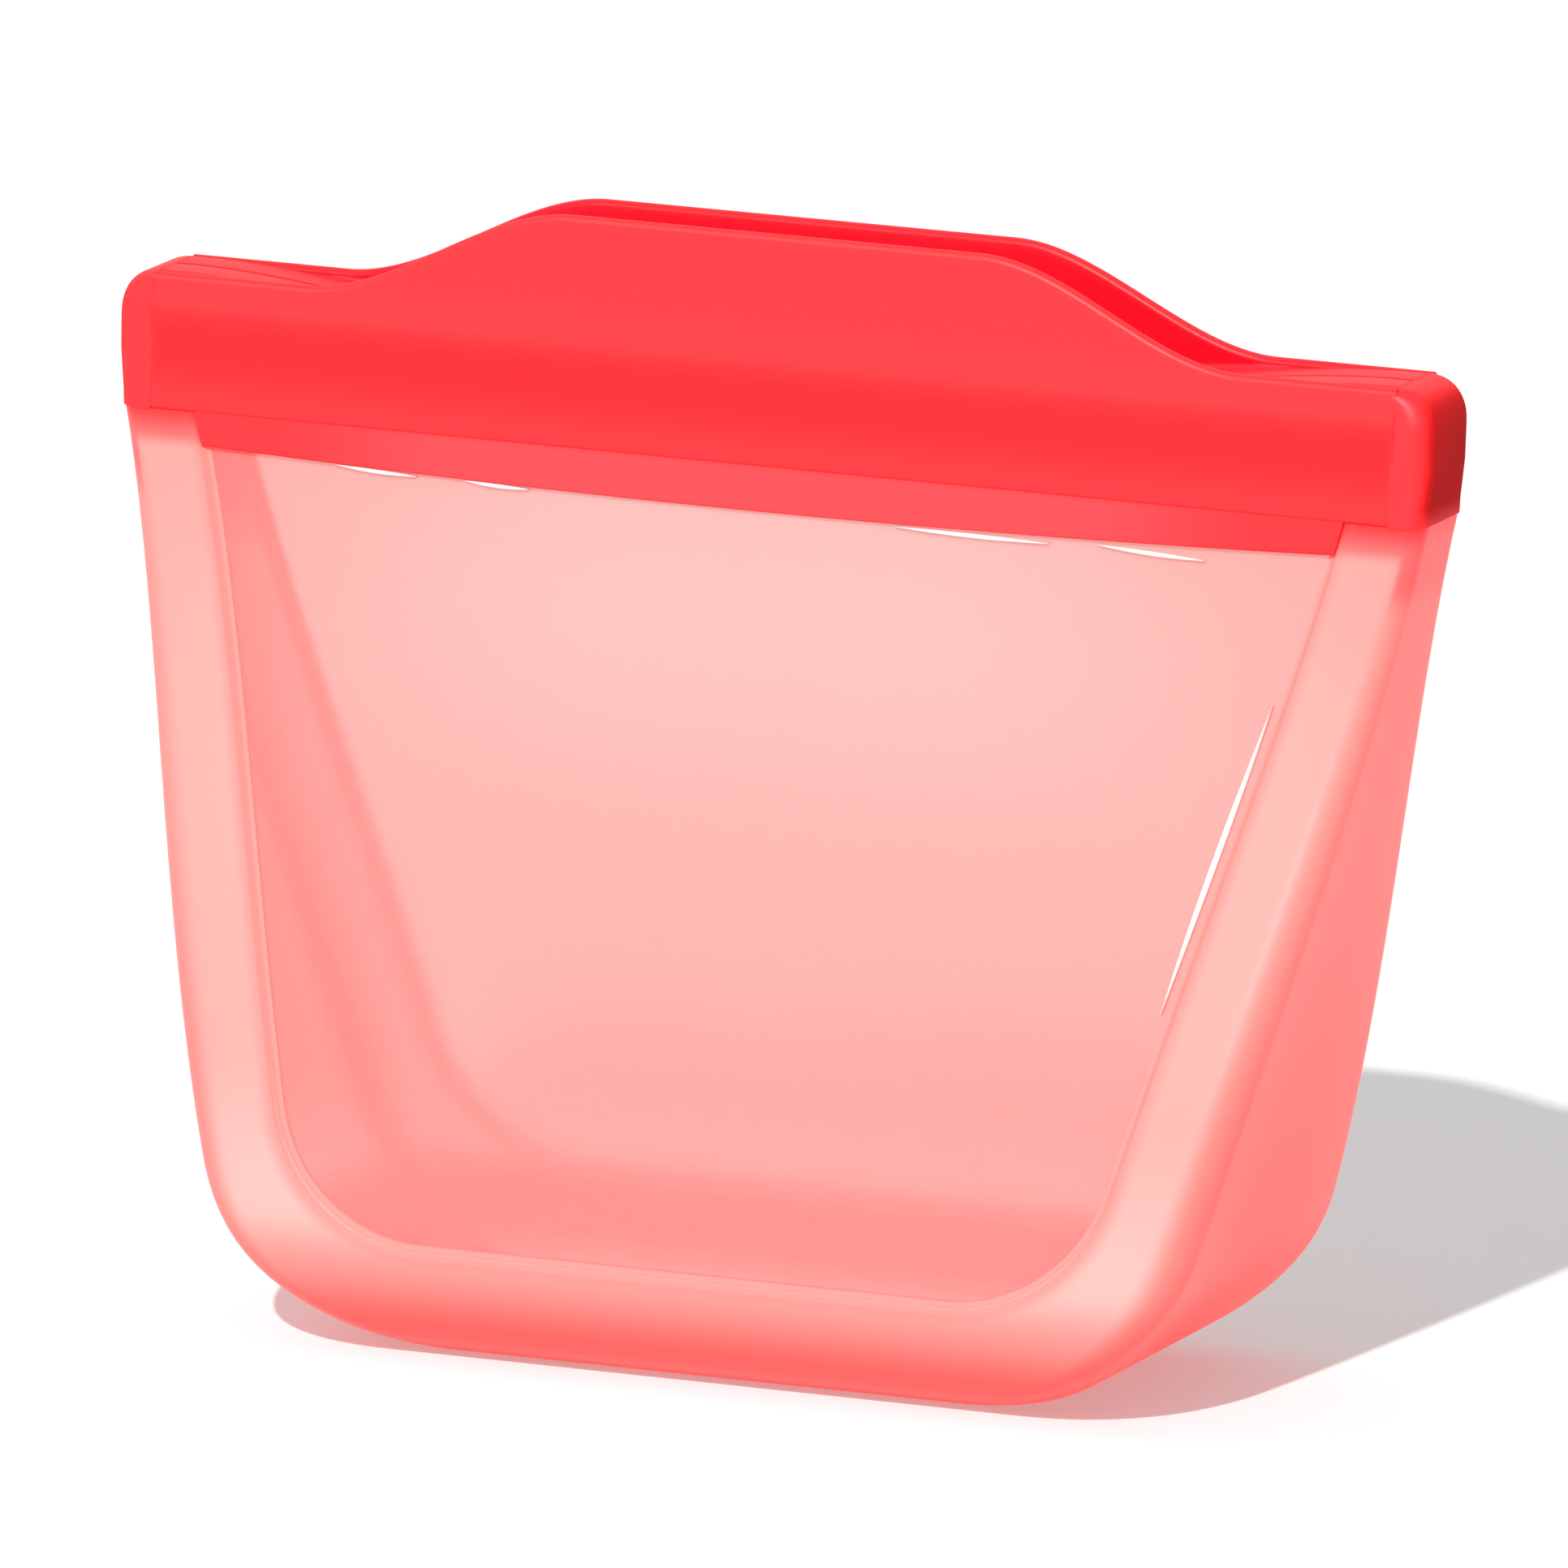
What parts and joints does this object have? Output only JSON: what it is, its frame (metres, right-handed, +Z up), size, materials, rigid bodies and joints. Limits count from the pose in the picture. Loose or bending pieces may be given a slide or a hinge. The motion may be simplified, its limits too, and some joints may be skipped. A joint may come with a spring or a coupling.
{
  "type": "reusable silicone bag",
  "caption": "Stand-up silicone food bag: a clear moulded pouch on a flat base under an opaque press-to-close mouth with end caps and raised pull tabs.",
  "frame": {"origin": "middle of the bag's footprint, on the surface that it stands on", "axes": "+X along the closure to the right, +Y to the back, +Z up"},
  "size_m": [0.2, 0.0696, 0.1634],
  "materials": {
    "clear_silicone": "translucent tinted silicone, satin moulded skin",
    "solid_silicone": "opaque pigmented silicone, soft matte moulded skin"
  },
  "bodies": {
    "root": {"pouch": "clear_silicone", "left_end_cap": "solid_silicone", "right_end_cap": "solid_silicone"},
    "front_closure": {"front_closure_strip": "solid_silicone"},
    "back_closure": {"back_closure_strip": "solid_silicone"}
  },
  "joints": [
    {"name": "front_mouth_open", "type": "slide", "parent": "root", "child": "front_closure", "axis": [0, -1, 0], "range_m": [0, 0.024], "stiffness_N_per_m": 40},
    {"name": "back_mouth_open", "type": "slide", "parent": "root", "child": "back_closure", "axis": [0, 1, 0], "range_m": [0, 0.024], "stiffness_N_per_m": 40}
  ]
}
